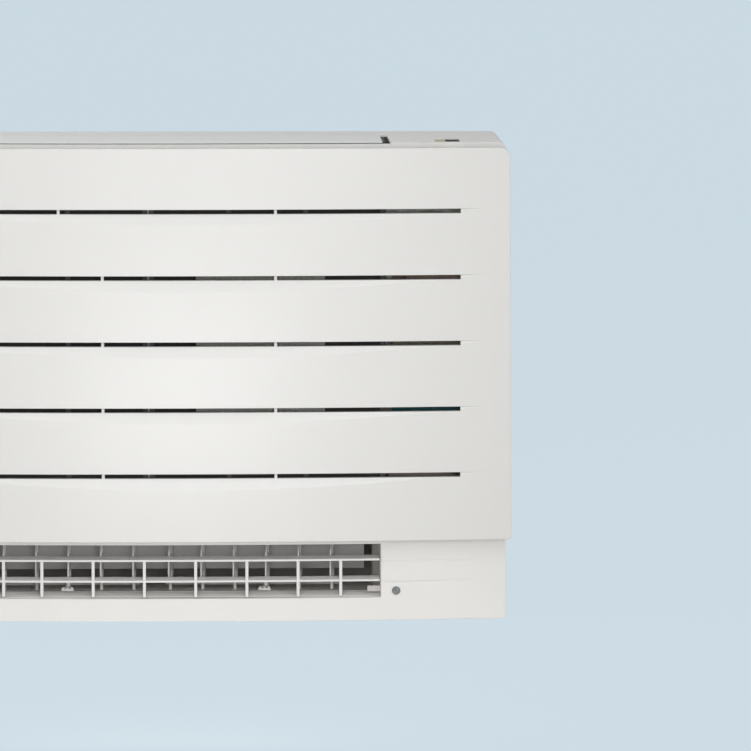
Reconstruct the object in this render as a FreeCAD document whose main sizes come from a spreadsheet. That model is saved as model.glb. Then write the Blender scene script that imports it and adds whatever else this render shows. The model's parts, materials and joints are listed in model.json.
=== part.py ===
import FreeCAD, Part
import functools
import math
import os
import re

import Sketcher

# Floor console air conditioner, in millimetres: +Z up, +X right seen from the front,
# the front faces -Y, the wall is at +Y, and the origin is under the middle of the unit.

Vector = FreeCAD.Vector

# Driving dimensions, piece by piece
SIZES = {
    # whole unit
    "overall_width": 775,
    "overall_height": 578,
    "overall_depth": 238,
    "bow_radius": 4100,
    "fit_gap": 0.3,
    "run_gap": 0.08,
    "overrun": 2,
    # front casing
    "casing_width_margin": 12,
    "casing_setback": 22,
    "casing_wall": 3,
    "casing_corner": 11,
    "intake_width_margin": 95,
    "intake_low": 112,
    "intake_high_drop": 18,
    "casing_lap_depth": 6,
    "casing_lap_height": 13,
    "casing_lap_fade_inset": 39.5,
    "screw_right": 249,
    "screw_left_inset": 35.5,
    "screw_height": 35.6,
    "screw_radius": 2,
    "screw_length": 18,
    "screw_head_radius": 5,
    "screw_head_height": 1.8,
    "screw_recess_depth": 2.2,
    "screw_cross_length": 5.6,
    "screw_cross_width": 1.3,
    "screw_cross_depth": 1.1,
    "screw_post_width": 13,
    # top of the casing: flap opening and control window
    "flap_length": 557.8,
    "flap_depth": 134,
    "flap_setback": 13,
    "flap_thickness": 4,
    "flap_lip": 9,
    "flap_end_gap": 9.5,
    "flap_strip": 40,
    "flap_seal": 1.5,
    "flap_seal_drop": 1.2,
    "brow_drop": 1.5,
    "flap_rear_gap": 7,
    "flap_pin_radius": 2.5,
    "flap_barrel_radius": 5,
    "flap_pin_inset": 6,
    "window_width": 30,
    "window_depth": 60,
    "window_centre": 311.5,
    "window_setback": 52,
    "window_recess": 1.5,
    "window_thickness": 3,
    "button_width": 13,
    "button_travel": 1.2,
    "board_thickness": 1.6,
    # lower outlet and its grille
    "outlet_width": 554.4,
    "outlet_shift": 46.4,
    "outlet_low": 27.5,
    "outlet_high": 93,
    "upper_blade_edge": 72.7,
    "lower_blade_edge": 47.5,
    "blade_depth": 18,
    "blade_thickness": 2.4,
    "blade_rise": 2,
    "grille_rib_width": 3.5,
    "grille_rib_depth": 16,
    "grille_rib_pitch": 61.8,
    "grille_rib_first": 130.4,
    "grille_rib_right": 181.9,
    "grille_rib_left": 224.8,
    "grille_rib_outer": 274.7,
    "grille_rib_count": 6,
    "grille_inset": 2,
    # front panel
    "panel_top_width_margin": 6,
    "panel_low": 99.5,
    "panel_high_drop": 5.5,
    "panel_wall": 4.5,
    "panel_depth": 15,
    "panel_lip_depth": 12,
    "panel_lip_thickness": 2.5,
    "panel_top_corner": 12,
    "panel_foot_corner": 3.5,
    "slot_top_drop": 78.2,
    "slot_height": 5.5,
    "slot_pitch": 79.5,
    "slot_count": 5,
    "slot_length_margin": 124,
    "panel_lap_depth": 4.5,
    "panel_lap_height": 19.5,
    "panel_lap_fade_inset": 26.5,
    "panel_rib": 103.5,
    "panel_outer_rib": 155.8,
    "panel_rib_width": 3.5,
    "panel_rib_setback": 2,
    "hinge_setback": 29,
    "hinge_height": 113,
    "hinge_pin_radius": 3,
    "hinge_eye_radius": 6,
    "hinge_ear_inset": 41.5,
    "hinge_ear_width": 6,
    "hinge_lug_inset": 31.5,
    "hinge_lug_width": 8,
    # panel stoppers
    "stopper_place_inset": 87.5,
    "stopper_length": 34,
    "stopper_depth": 7,
    "stopper_height": 8,
    "stopper_tongue_length": 14,
    "stopper_tongue_height": 3,
    "stopper_grip_height": 1.6,
    "stopper_grip_width": 2,
    "stopper_grip_pitch": 5,
    # intake guard and filters
    "guard_width_margin": 89,
    "guard_low": 106,
    "guard_high_drop": 15,
    "guard_thickness": 3,
    "guard_bar": 7,
    "guard_columns": 6,
    "guard_rows": 5,
    "guard_front_setback": 39.8,
    "filter_left_end": 334,
    "filter_right_end": 236,
    "filter_low": 118,
    "filter_high_drop": 24,
    "filter_thickness": 4,
    "filter_bar": 6,
    "filter_columns": 3,
    "filter_rows": 5,
    "filter_gap": 2,
    "net_thickness": 0.6,
    "purifier_left": 8,
    "purifier_right": 163,
    "purifier_low": 230,
    "purifier_high": 460,
    "purifier_thickness": 4,
    "purifier_bar": 5,
    "pleat_pitch": 7,
    "pleat_depth": 2,
    # coil
    "coil_left": 318,
    "coil_right": 212,
    "coil_front_setback": 46,
    "coil_depth": 34,
    "coil_low": 124,
    "coil_high_drop": 30,
    "fin_pitch": 10,
    "fin_groove": 5,
    "fin_groove_depth": 3,
    "coil_plate_thickness": 2,
    "coil_plate_low": 110.3,
    "coil_plate_high_drop": 22,
    "coil_flange": 8,
    "bend_radius": 12.5,
    "tube_radius": 4,
    "bend_first": 160,
    "bend_pitch": 50,
    "bend_count": 8,
    "gas_pipe_radius": 5,
    "liquid_pipe_radius": 3.2,
    "pipe_bend": 24,
    "gas_pipe_height": 168,
    "liquid_pipe_height": 142,
    "gas_pipe_drop": 322,
    "liquid_pipe_drop": 292,
    "pipe_foot": 58,
    "nut_height": 18,
    "nut_radius_ratio_share": 2.2,
    # drain
    "pan_low": 108,
    "pan_high": 122,
    "pan_wall": 2,
    "pan_left": 326,
    "pan_right": 228,
    "socket_radius": 6,
    "socket_length": 26,
    "socket_rib": 2,
    # fan
    "bell_front_setback": 83,
    "bell_thickness": 2,
    "bell_radius": 130,
    "bell_curl": 16,
    "bell_low": 96,
    "bell_high_drop": 18,
    "fan_height": 335,
    "fan_radius": 165,
    "fan_inner_radius": 92,
    "fan_front_setback": 101,
    "fan_rear_inset": 60,
    "fan_plate": 3,
    "fan_blade_thickness": 4,
    "fan_blade_curve": 130,
    "fan_blade_sweep": 32,
    "fan_blade_count": 7,
    "fan_shroud_thickness": 3,
    "fan_shroud_radius": 136,
    "fan_shroud_flare": 18,
    "fan_hub_radius": 18,
    "fan_hub_length": 34,
    "fan_cone_radius": 62,
    "fan_cone_depth": 20,
    "shaft_radius": 5,
    "shaft_front_inset": 107,
    "shaft_rear_inset": 27,
    "nut_thickness": 6,
    "nut_radius": 9,
    "motor_front_inset": 53,
    "motor_rear_inset": 15,
    "motor_radius": 56,
    "motor_round": 8,
    "mount_radius": 70,
    "mount_screw_circle": 62,
    "mount_screw_radius": 2.5,
    "mount_screw_head": 4.5,
    "mount_screw_count": 4,
    # scroll walls and air guides
    "scroll_left": 330,
    "scroll_right": 237,
    "scroll_wall": 2.5,
    "scroll_low": 96.3,
    "cheek_reach": 62,
    "cheek_low": 190,
    "cheek_high": 480,
    "guide_front_setback": 39,
    "guide_low_drop": 17.7,
    "guide_rise": 4.2,
    "guide_wall": 2.5,
    # lower duct
    "duct_floor_front": 27.5,
    "duct_floor_step": 32,
    "duct_floor_rear": 34,
    "duct_step_place_setback": 57,
    "duct_bend_start_inset": 99,
    "duct_bend_radius": 95,
    "duct_bend_sweep": 78,
    "duct_wall": 2.5,
    "duct_edge": 0.6,
    "duct_ceiling_rear_setback": 95,
    "duct_end_inset": 9,
    "duct_end_rear_setback": 85,
    "duct_ridge_height": 1.6,
    "duct_ridge_width": 3,
    "duct_ridge_pitch": 7,
    "duct_ridge_first_setback": 31,
    "duct_ridge_count": 4,
    "duct_web_width": 3,
    "duct_web_count": 4,
    "bracket_width": 14,
    "bracket_height": 7,
    "bracket_low": 34,
    "bracket_setback": 13,
    # louvre vanes
    "vane_pitch": 39.2,
    "vane_right_first": 24,
    "vane_group_offset": 240.4,
    "vane_count": 6,
    "vane_knob": 3,
    "vane_pivot_setback": 71,
    "vane_front": 14,
    "vane_rear": 18,
    "vane_low": 44,
    "vane_high": 88,
    "vane_thickness": 2,
    "vane_curve": 20,
    "vane_pin_radius": 2,
    "vane_pin_foot": 31,
    "vane_pin_head": 95,
    "vane_crank": 12,
    "vane_link_pin_radius": 1.5,
    "link_low": 36.5,
    "link_thickness": 3,
    "link_width": 7,
    "tab_length": 12,
    "tab_width": 15,
    "tab_root": 6,
    "tab_thickness": 3,
    "tab_drop": 9.8,
    "tab_rib_height": 1.6,
    "tab_rib_width": 2,
    "right_rest_turn": 8,
    "left_rest_turn": 3,
    # shutter
    "shutter_right": 212,
    "shutter_left": 305,
    "shutter_pivot_setback": 103,
    "shutter_height": 89,
    "shutter_reach": 36,
    "shutter_thickness": 2.5,
    "shutter_curve": 90,
    "shutter_pin_radius": 2.5,
    "shutter_barrel_radius": 4,
    # stepper motors
    "stepper_radius": 14,
    "stepper_length": 19,
    "stepper_offset": 12,
    "stepper_boss_radius": 4.5,
    "stepper_boss_length": 1.5,
    "stepper_ear_reach": 21,
    "stepper_ear_width": 7,
    "stepper_ear_thickness": 1,
    # electrical box
    "box_low": 205,
    "box_high": 520,
    "box_right_inset": 21.5,
    "box_front_setback": 53,
    "box_rear_setback": 89,
    "box_wall": 1.5,
    "board_low": 215,
    "board_high": 305,
    "board_front_setback": 73,
    "terminal_low": 322,
    "terminal_high": 360,
    "terminal_front_setback": 59,
    "terminal_count": 5,
    "reactor_low": 388,
    "reactor_high": 446,
    "reactor_front_setback": 59,
    "part_inset": 8,
    "standoff_radius": 3,
    "capacitor_radius": 9,
    "capacitor_height": 12,
    "chip_size": 18,
    "chip_height": 3,
    # rear frame
    "frame_wall": 3,
    "frame_front_setback": 45,
    "pipe_opening_low": 40,
    "pipe_opening_high": 110,
    "pipe_opening_left": 270,
    "pipe_opening_right": 350,
    "wall_hole_radius": 4,
    "wall_hole_place": 300,
    "wall_hole_low": 150,
    "wall_hole_high": 480,
    "frame_rib_depth": 6,
    "frame_rib_width": 3,
}

# Values worked out from the driving dimensions
NAMED = {
    "front": "-overall_depth / 2",
    "back": "overall_depth / 2",
    "half_width": "overall_width / 2",
    "bow_axis": "front + bow_radius",
    "guard_front": "(overall_depth / 2 - guard_front_setback)",
    "coil_front": "(overall_depth / 2 - coil_front_setback)",
    "bell_front": "(overall_depth / 2 - bell_front_setback)",
    "box_front": "(overall_depth / 2 - box_front_setback)",
    "box_rear": "(overall_depth / 2 - box_rear_setback)",
    "board_front": "(overall_depth / 2 - board_front_setback)",
    "terminal_front": "(overall_depth / 2 - terminal_front_setback)",
    "reactor_front": "(overall_depth / 2 - reactor_front_setback)",
    "frame_front": "(overall_depth / 2 - frame_front_setback)",
    "guide_front": "(overall_depth / 2 - guide_front_setback)",
    "duct_step_place": "(overall_depth / 2 - duct_step_place_setback)",
    "duct_ridge_first": "(overall_depth / 2 - duct_ridge_first_setback)",
    "vane_pivot": "(overall_depth / 2 - vane_pivot_setback)",
    "shutter_pivot": "(overall_depth / 2 - shutter_pivot_setback)",
    "duct_end_rear": "(overall_depth / 2 - duct_end_rear_setback)",
    "duct_ceiling_rear": "(overall_depth / 2 - duct_ceiling_rear_setback)",
    "fan_front": "(overall_depth / 2 - fan_front_setback)",
    "fan_rear": "(back - fan_rear_inset)",
    "shaft_front": "(back - shaft_front_inset)",
    "shaft_rear": "(back - shaft_rear_inset)",
    "motor_front": "(back - motor_front_inset)",
    "motor_rear": "(back - motor_rear_inset)",
    "duct_bend_start": "(back - duct_bend_start_inset)",
    "panel_high": "(overall_height - panel_high_drop)",
    "intake_high": "(overall_height - intake_high_drop)",
    "guard_high": "(overall_height - guard_high_drop)",
    "filter_high": "(overall_height - filter_high_drop)",
    "coil_high": "(overall_height - coil_high_drop)",
    "coil_plate_high": "(overall_height - coil_plate_high_drop)",
    "bell_high": "(overall_height - bell_high_drop)",
    "guide_low": "(overall_height - guide_low_drop)",
    "slot_top": "(overall_height - slot_top_drop)",
    "hinge_ear": "(half_width - hinge_ear_inset)",
    "hinge_lug": "(half_width - hinge_lug_inset)",
    "stopper_place": "(half_width - stopper_place_inset)",
    "panel_lap_fade": "(half_width - panel_lap_fade_inset)",
    "casing_lap_fade": "(half_width - casing_lap_fade_inset)",
    "screw_left": "(half_width - screw_left_inset)",
    "box_right": "(half_width - box_right_inset)",
    "casing_width": "(overall_width - casing_width_margin)",
    "panel_top_width": "(overall_width - panel_top_width_margin)",
    "slot_length": "(overall_width - slot_length_margin)",
    "intake_width": "(overall_width - intake_width_margin)",
    "guard_width": "(overall_width - guard_width_margin)",
    "scroll_high": "(roof_low - fit_gap)",
    "casing_half": "casing_width / 2",
    "casing_bow": "bow_radius - casing_setback",
    "casing_front": "front + casing_setback",
    "casing_inner_bow": "casing_bow - casing_wall",
    "casing_inner_half": "casing_half - casing_wall",
    "roof_low": "overall_height - casing_wall",
    "intake_half": "intake_width / 2",
    "outlet_left": "-outlet_shift - outlet_width / 2",
    "outlet_right": "-outlet_shift + outlet_width / 2",
    "flap_left": "-outlet_shift - flap_length / 2",
    "flap_right": "-outlet_shift + flap_length / 2",
    "flap_front": "casing_front + flap_setback",
    "flap_rear": "flap_front + flap_depth",
    "flap_low": "overall_height - flap_thickness",
    "flap_axis_y": "flap_rear - flap_pin_inset",
    "flap_axis_z": "flap_low - flap_barrel_radius / 2",
    "window_front": "casing_front + window_setback - window_depth / 2",
    "window_rear": "casing_front + window_setback + window_depth / 2",
    "window_left": "window_centre - window_width / 2",
    "window_right": "window_centre + window_width / 2",
    "hinge_y": "front + hinge_setback",
    "panel_inner_half": "panel_top_width / 2 - panel_wall",
    "slot_half": "slot_length / 2",
    "guard_rear": "-guard_front + guard_thickness",
    "filter_rear": "-guard_front - fit_gap - net_thickness",
    "filter_front": "filter_rear - filter_thickness",
    "purifier_rear": "filter_front - fit_gap",
    "purifier_front": "purifier_rear - purifier_thickness",
    "filter_split": "(filter_right_end - filter_left_end) / 2",
    "coil_rear": "-coil_front + coil_depth",
    "coil_middle": "-coil_front + coil_depth / 2",
    "bell_rear": "-bell_front + bell_thickness",
    "fan_x": "-outlet_shift",
    "frame_plate": "back - frame_wall",
    "scroll_face": "scroll_right - scroll_wall",
    "duct_left": "outlet_left + duct_end_inset",
    "duct_right": "outlet_right - duct_end_inset",
    "stepper_seat": "scroll_right + fit_gap",
    "box_left": "scroll_right + fit_gap",
    "screw_front_right": "bow_axis - sqrt(casing_bow^2 - screw_right^2)",
    "screw_front_left": "bow_axis - sqrt(casing_bow^2 - screw_left^2)",
    "lap_backing_rear": "bow_axis - sqrt((casing_inner_bow - casing_wall)^2 - casing_lap_fade^2)",
}

# Casing screws: place to the side and the casing's face there
SCREWS = {"right": ("screw_right", "screw_front_right"), "left": ("-screw_left", "screw_front_left")}

DOC = FreeCAD.newDocument("floor_console")
SHEET = DOC.addObject("Spreadsheet::Sheet", "dims")
for row, (name, size) in enumerate(SIZES.items(), start=1):
    SHEET.set(f"A{row}", name)
    SHEET.set(f"B{row}", str(size))
    SHEET.setAlias(f"B{row}", name)
DOC.recompute()

WORD = re.compile(r"[a-z_]+")
PARTS = {}


@functools.lru_cache(maxsize=None)
def full(text):
    """Spell an expression in sheet cells."""

    def swap(found):
        word = found.group(0)
        if word in NAMED:
            return "(" + full(NAMED[word]) + ")"
        if word in SIZES:
            return "dims." + word
        return word

    return WORD.sub(swap, str(text))


@functools.lru_cache(maxsize=None)
def number(text):
    """Value of an expression."""
    return float(SHEET.evalExpression(full(text)))


def bind(item, prop, text):
    item.setExpression(prop, full(text))


def place(item, x="0", y="0", z="0"):
    for axis, text in zip("xyz", (x, y, z)):
        bind(item, "Placement.Base." + axis, text)


def keep(label, item):
    """Name an object as a finished sub-part."""
    item.Label = label
    PARTS[label] = item
    return item


def bow(radius, x):
    """Y of the bowed face of a radius, x to the side."""
    return f"(bow_axis - sqrt(({radius})^2 - ({x})^2))"


# Solids and their booleans

TURNS = {
    "x": FreeCAD.Rotation(Vector(0, 1, 0), 90),
    "y": FreeCAD.Rotation(Vector(1, 0, 0), -90),
    "z": FreeCAD.Rotation(),
}


def box(name, x, y, z):
    item = DOC.addObject("Part::Box", name)
    for side, (low, high) in zip(("Length", "Width", "Height"), (x, y, z)):
        bind(item, side, f"({high}) - ({low})")
    place(item, x[0], y[0], z[0])
    return item


def cylinder(name, axis, radius, length, start):
    item = DOC.addObject("Part::Cylinder", name)
    item.Placement = FreeCAD.Placement(Vector(), TURNS[axis])
    bind(item, "Radius", radius)
    bind(item, "Height", length)
    place(item, *start)
    return item


def bow_cylinder(name, radius, low, high):
    return cylinder(name, "z", radius, f"({high}) - ({low})", ("0", "bow_axis", low))


def fuse(name, *items):
    item = DOC.addObject("Part::MultiFuse", name)
    item.Shapes = list(items)
    return item


def common(name, *items):
    item = DOC.addObject("Part::MultiCommon", name)
    item.Shapes = list(items)
    return item


def group(name, *items):
    item = DOC.addObject("Part::Compound", name)
    item.Links = list(items)
    return item


def cut(name, base, *tools):
    item = DOC.addObject("Part::Cut", name)
    item.Base = base
    item.Tool = tools[0] if len(tools) == 1 else group(name + "_tools", *tools)
    return item


# Bodies made of sketched features

SIGN = {"xy": "", "xz": "-", "yz": ""}


def body(name):
    return DOC.addObject("PartDesign::Body", name)


def arc_between(first, last, radius, side):
    """Short arc from first to last; its centre lies left of the way for side +1, right for -1."""
    chord = last - first
    away = Vector(-chord.y, chord.x, 0).normalize()
    rise = math.sqrt(radius * radius - chord.Length * chord.Length / 4)
    centre = (first + last) / 2 + away * (side * rise)
    begin, end = (first, last) if side > 0 else (last, first)
    angles = [math.atan2(spot.y - centre.y, spot.x - centre.x) for spot in (begin, end)]
    return Part.ArcOfCircle(Part.Circle(centre, Vector(0, 0, 1), radius), *angles)


def pin(rules, shape, point, x, y):
    """Hold a point of a shape at a place in the sketch."""
    for kind, text in (("DistanceX", x), ("DistanceY", y)):
        rules.append((Sketcher.Constraint(kind, -1, 1, shape, point, number(text)), text))


def add_outline(shapes, rules, corners):
    """Closed outline: each corner is (x, y) or (x, y, radius, side) for an arc to the next one."""
    spots = [Vector(number(corner[0]), number(corner[1]), 0) for corner in corners]
    base = len(shapes)
    ends = []
    for index, corner in enumerate(corners):
        first = spots[index]
        last = spots[(index + 1) % len(spots)]
        if len(corner) == 2:
            shapes.append(Part.LineSegment(first, last))
            ends.append((1, 2))
        else:
            shapes.append(arc_between(first, last, number(corner[2]), corner[3]))
            ends.append((1, 2) if corner[3] > 0 else (2, 1))
    for index, corner in enumerate(corners):
        after = (index + 1) % len(corners)
        joined = Sketcher.Constraint("Coincident", base + index, ends[index][1], base + after, ends[after][0])
        rules.append((joined, None))
        pin(rules, base + index, ends[index][0], corner[0], corner[1])
        if len(corner) > 2:
            rules.append((Sketcher.Constraint("Radius", base + index, number(corner[2])), corner[2]))


def add_circle(shapes, rules, x, y, radius):
    ring = len(shapes)
    shapes.append(Part.Circle(Vector(number(x), number(y), 0), Vector(0, 0, 1), number(radius)))
    pin(rules, ring, 3, x, y)
    rules.append((Sketcher.Constraint("Radius", ring, number(radius)), radius))


def draw(drawing, shapes, rules, construction=False):
    """Put shapes into a sketch and bind their rules to the sheet."""
    first = drawing.ConstraintCount
    drawing.addGeometry(shapes, construction)
    drawing.addConstraint([rule for rule, _ in rules])
    for index, (_, text) in enumerate(rules, start=first):
        if text is not None:
            drawing.setExpression(f"Constraints[{index}]", full(text))


def add_axis(drawing, first, last):
    """Construction line between two places, which a feature turns about."""
    rules = []
    line = drawing.GeometryCount
    pin(rules, line, 1, *first)
    pin(rules, line, 2, *last)
    spots = [Vector(number(x), number(y), 0) for x, y in (first, last)]
    draw(drawing, [Part.LineSegment(*spots)], rules, True)


def add_path(drawing, corners, radius):
    """Open path through three corners, with an arc of the radius at the middle one."""
    (ax, ay), (bx, by), (cx, cy) = corners
    legs = [((ax, ay), (f"{bx} - {radius}", by)), ((bx, f"{by} - {radius}"), (cx, cy))]
    shapes = []
    rules = []
    for index, leg in enumerate(legs):
        spots = [Vector(number(x), number(y), 0) for x, y in leg]
        shapes.append(Part.LineSegment(*spots))
        pin(rules, index, 1, *leg[0])
        pin(rules, index, 2, *leg[1])
    shapes.append(arc_between(shapes[0].EndPoint, shapes[1].StartPoint, number(radius), -1))
    rules.append((Sketcher.Constraint("Coincident", 0, 2, 2, 2), None))
    rules.append((Sketcher.Constraint("Coincident", 1, 1, 2, 1), None))
    draw(drawing, shapes, rules)


def sketch(owner, plane, outlines, start):
    """Sketch on an origin plane of a body, moved to start; a string heads a circle."""
    drawing = owner.newObject("Sketcher::SketchObject", owner.Name + "_sketch")
    role = plane.upper() + "_Plane"
    support = [item for item in owner.Origin.OriginFeatures if item.Role == role][0]
    drawing.AttachmentSupport = (support, [""])
    drawing.MapMode = "FlatFace"
    bind(drawing, "AttachmentOffset.Base.z", f"{SIGN[plane]}({start})")
    shapes = []
    rules = []
    for outline in outlines:
        if outline[0] == "circle":
            add_circle(shapes, rules, *outline[1:])
        else:
            add_outline(shapes, rules, outline)
    if shapes:
        draw(drawing, shapes, rules)
    return drawing


def pad(owner, plane, outlines, start, end):
    """Add the outlines' prism from start to end along the plane's axis."""
    feature = owner.newObject("PartDesign::Pad", owner.Name + "_pad")
    feature.Profile = sketch(owner, plane, outlines, start)
    feature.Reversed = plane == "xz"
    bind(feature, "Length", f"({end}) - ({start})")
    owner.Tip = feature
    return feature


def pocket(owner, plane, outlines, start, end):
    """Cut the outlines' prism from start to end along the plane's axis."""
    feature = owner.newObject("PartDesign::Pocket", owner.Name + "_pocket")
    feature.Profile = sketch(owner, plane, outlines, start)
    feature.Reversed = plane != "xz"
    bind(feature, "Length", f"({end}) - ({start})")
    owner.Tip = feature
    return feature


def revolve(owner, outlines, x, height, kind="PartDesign::Revolution"):
    """Turn YZ outlines, drawn at x, about the line along Y at that height."""
    feature = owner.newObject(kind, owner.Name + "_turned")
    drawing = sketch(owner, "yz", outlines, x)
    add_axis(drawing, ("0", height), ("overall_depth", height))
    feature.Profile = drawing
    feature.ReferenceAxis = (drawing, ["Axis0"])
    owner.Tip = feature
    return feature


def rectangle(x, y):
    return [(x[0], y[0]), (x[1], y[0]), (x[1], y[1]), (x[0], y[1])]


def window_grid(x, z, columns, rows, bar):
    """Rectangles of a lattice between the limits x and z, a bar apart."""
    outlines = []
    wide = f"((({x[1]}) - ({x[0]}) - {bar}) / {columns})"
    tall = f"((({z[1]}) - ({z[0]}) - {bar}) / {rows})"
    for column in range(int(number(columns))):
        for row in range(int(number(rows))):
            left = f"({x[0]}) + {bar} + {column} * {wide}"
            low = f"({z[0]}) + {bar} + {row} * {tall}"
            outlines.append(rectangle((left, f"{left} + {wide} - {bar}"), (low, f"{low} + {tall} - {bar}")))
    return outlines


# Bowed laps: a shallow step under an edge, deepest in the middle, that fades out sideways

def lap(name, edge, depth, height, fade, setback):
    radius = f"(bow_radius - {setback})"
    flat = f"(1 / (1 / {radius} - 2 * {depth} / {fade}^2))"
    low = f"({edge}) - {height}"
    slab = box(
        name + "_slab",
        (f"-{fade}", fade),
        (f"front + {setback} - overrun", f"{bow(radius, fade)} + overrun"),
        (low, edge),
    )
    face = DOC.addObject("Part::Cone", name + "_face")
    bind(face, "Radius1", f"{flat} + {depth}")
    bind(face, "Radius2", flat)
    bind(face, "Height", height)
    place(face, "0", f"front + {setback} + {depth} + {flat}", low)
    return cut(name, slab, face)


# Front casing

def casing_plan(half, radius, rear):
    edge = bow(radius, half)
    return [(f"-({half})", rear), (f"-({half})", edge, radius, 1), (half, edge), (half, rear)]


def front_casing():
    shell = body("casing_shell")
    pad(shell, "xy", [casing_plan("casing_half", "casing_bow", "back")], "0", "overall_height")
    top = "overall_height"
    shoulder = "overall_height - casing_corner"
    corners = []
    for sign, side in (("", 1), ("-", -1)):
        inner = f"{sign}(casing_half - casing_corner)"
        outer = f"{sign}(casing_half + overrun)"
        corners.append([
            (inner, f"{top} + overrun"),
            (outer, f"{top} + overrun"),
            (outer, shoulder),
            (f"{sign}casing_half", shoulder, "casing_corner", side),
            (inner, top),
        ])
    pocket(shell, "xz", corners, "front - overrun", "back + overrun")
    hollow = casing_plan("casing_inner_half", "casing_inner_bow", "back + overrun")
    pocket(shell, "xy", [hollow], "-overrun", shoulder)
    upper = casing_plan("casing_half - casing_corner", "casing_inner_bow", "back + overrun")
    pocket(shell, "xy", [upper], f"{shoulder} - overrun", "roof_low")
    intake = rectangle(("-intake_half", "intake_half"), ("intake_low", "intake_high"))
    pocket(shell, "xz", [intake], "front", bow("casing_inner_bow", "intake_half") + " + overrun")
    outlet = rectangle(("outlet_left", "outlet_right"), ("outlet_low", "outlet_high"))
    pocket(shell, "xz", [outlet], "front", bow("casing_inner_bow", "outlet_left") + " + overrun")
    left = "flap_left - flap_end_gap"
    right = "flap_right + flap_end_gap"
    rear = "flap_rear + flap_rear_gap"
    flap_hole = [
        (left, rear),
        (left, bow("casing_inner_bow", left), "casing_inner_bow", 1),
        (right, bow("casing_inner_bow", right)),
        (right, rear),
    ]
    window = rectangle(("window_left", "window_right"), ("window_front", "window_rear"))
    pocket(shell, "xy", [flap_hole, window], "roof_low - overrun", "overall_height + overrun")
    brow = rectangle((left, right), ("front", rear))
    pocket(shell, "xy", [brow], "overall_height - brow_drop", "overall_height + overrun")
    pieces = [shell]
    bores = []
    for name, (x, face) in SCREWS.items():
        start = (x, "front", "screw_height")
        bores.append(cylinder(f"screw_bore_{name}", "y", "screw_radius + run_gap",
                              "lap_backing_rear + overrun - (front)", start))
        bores.append(cylinder(f"screw_recess_{name}", "y", "screw_head_radius + fit_gap",
                              f"{face} + screw_recess_depth - (front)", start))
    for side, sign in (("right", ""), ("left", "-")):
        start = f"{sign}hinge_lug" if sign == "" else "-hinge_lug - hinge_lug_width"
        end = f"{start} + hinge_lug_width"
        pieces.append(cylinder(f"lug_eye_{side}", "x", "hinge_eye_radius", "hinge_lug_width",
                               (start, "hinge_y", "hinge_height")))
        pieces.append(box(f"lug_arm_{side}", (start, end),
                          ("hinge_y", bow("casing_bow - casing_wall / 2", "hinge_lug")),
                          ("hinge_height - hinge_eye_radius", "hinge_height + hinge_eye_radius")))
        bores.append(cylinder(f"lug_bore_{side}", "x", "hinge_pin_radius + run_gap",
                              "hinge_lug_width + 2 * overrun",
                              (f"{start} - overrun", "hinge_y", "hinge_height")))
    laps = [
        lap(f"casing_lap_{edge}", edge, "casing_lap_depth", "casing_lap_height", "casing_lap_fade",
            "casing_setback")
        for edge in ("upper_blade_edge", "lower_blade_edge")
    ]
    # the laps would thin the wall, so ribs behind them keep it whole
    for edge in ("upper_blade_edge", "lower_blade_edge"):
        backing = common(
            f"lap_backing_{edge}",
            bow_cylinder(f"lap_backing_front_{edge}", "casing_bow - casing_wall",
                         f"{edge} - casing_lap_height", f"{edge} + casing_wall"),
            fuse(
                f"lap_backing_ends_{edge}",
                *[
                    box(f"lap_backing_{name}_{edge}", x,
                        ("front", "lap_backing_rear"),
                        (f"{edge} - casing_lap_height", f"{edge} + casing_wall"))
                    for name, x in (("right", ("outlet_right", "casing_lap_fade")),
                                    ("left", ("-casing_lap_fade", "outlet_left")))
                ],
            ),
        )
        pieces.append(backing)
    keep("front_casing", cut("casing_cut", fuse("casing_whole", *pieces), *laps, *bores))


# Lower outlet grille: two bowed blades that fall to the front, and upright ribs

def bow_turn(owner, outline, reach):
    """Turn a YZ outline about the upright axis of the bow, past reach on both sides."""
    feature = owner.newObject("PartDesign::Revolution", owner.Name + "_turned")
    drawing = sketch(owner, "yz", [outline], "0")
    add_axis(drawing, ("bow_axis", "0"), ("bow_axis", "overall_height"))
    feature.Profile = drawing
    feature.ReferenceAxis = (drawing, ["Axis0"])
    feature.Midplane = True
    bind(feature, "Angle", f"2 * asin(({reach}) / (casing_bow - blade_depth)) + 1 deg")
    owner.Tip = feature


def outlet_grille():
    blades = body("grille_blades")
    rear = "casing_front + blade_depth"
    for edge in ("upper_blade_edge", "lower_blade_edge"):
        outline = [
            ("casing_front", edge),
            (rear, f"{edge} + blade_rise"),
            (rear, f"{edge} + blade_rise + blade_thickness"),
            ("casing_front", f"{edge} + blade_thickness"),
        ]
        bow_turn(blades, outline, "outlet_shift + outlet_width / 2")
    count = int(number("grille_rib_count"))
    places = [f"grille_rib_first - {index} * grille_rib_pitch" for index in range(count)]
    places += ["grille_rib_right", "-grille_rib_left", "-grille_rib_outer"]
    ribs = []
    for x in places:
        face = bow("casing_bow", x)
        ribs.append(rectangle((f"{x} - grille_rib_width / 2", f"{x} + grille_rib_width / 2"),
                              (f"{face} + fit_gap", f"{face} + grille_rib_depth")))
    pad(blades, "xy", ribs, "outlet_low", "upper_blade_edge + blade_thickness / 2")
    pocket(blades, "yz", [[
        ("front", "0"),
        ("-duct_step_place", "0"),
        ("-duct_step_place", "duct_floor_step + duct_ridge_height + fit_gap"),
        ("casing_front", "duct_floor_front + duct_ridge_height + fit_gap"),
        ("front", "duct_floor_front"),
    ]], "outlet_left", "outlet_right")
    room = box("grille_room", ("outlet_left + grille_inset", "outlet_right - grille_inset"),
               ("front", "0"), ("outlet_low", "outlet_high"))
    keep("outlet_grille", common("grille_trim", blades, room))


# Front panel: a bowed tray with slots, a lip under each slot, laps, ribs and hinge pins

def slot_low(index):
    return f"(slot_top - {index} * slot_pitch - slot_height)"


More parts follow.
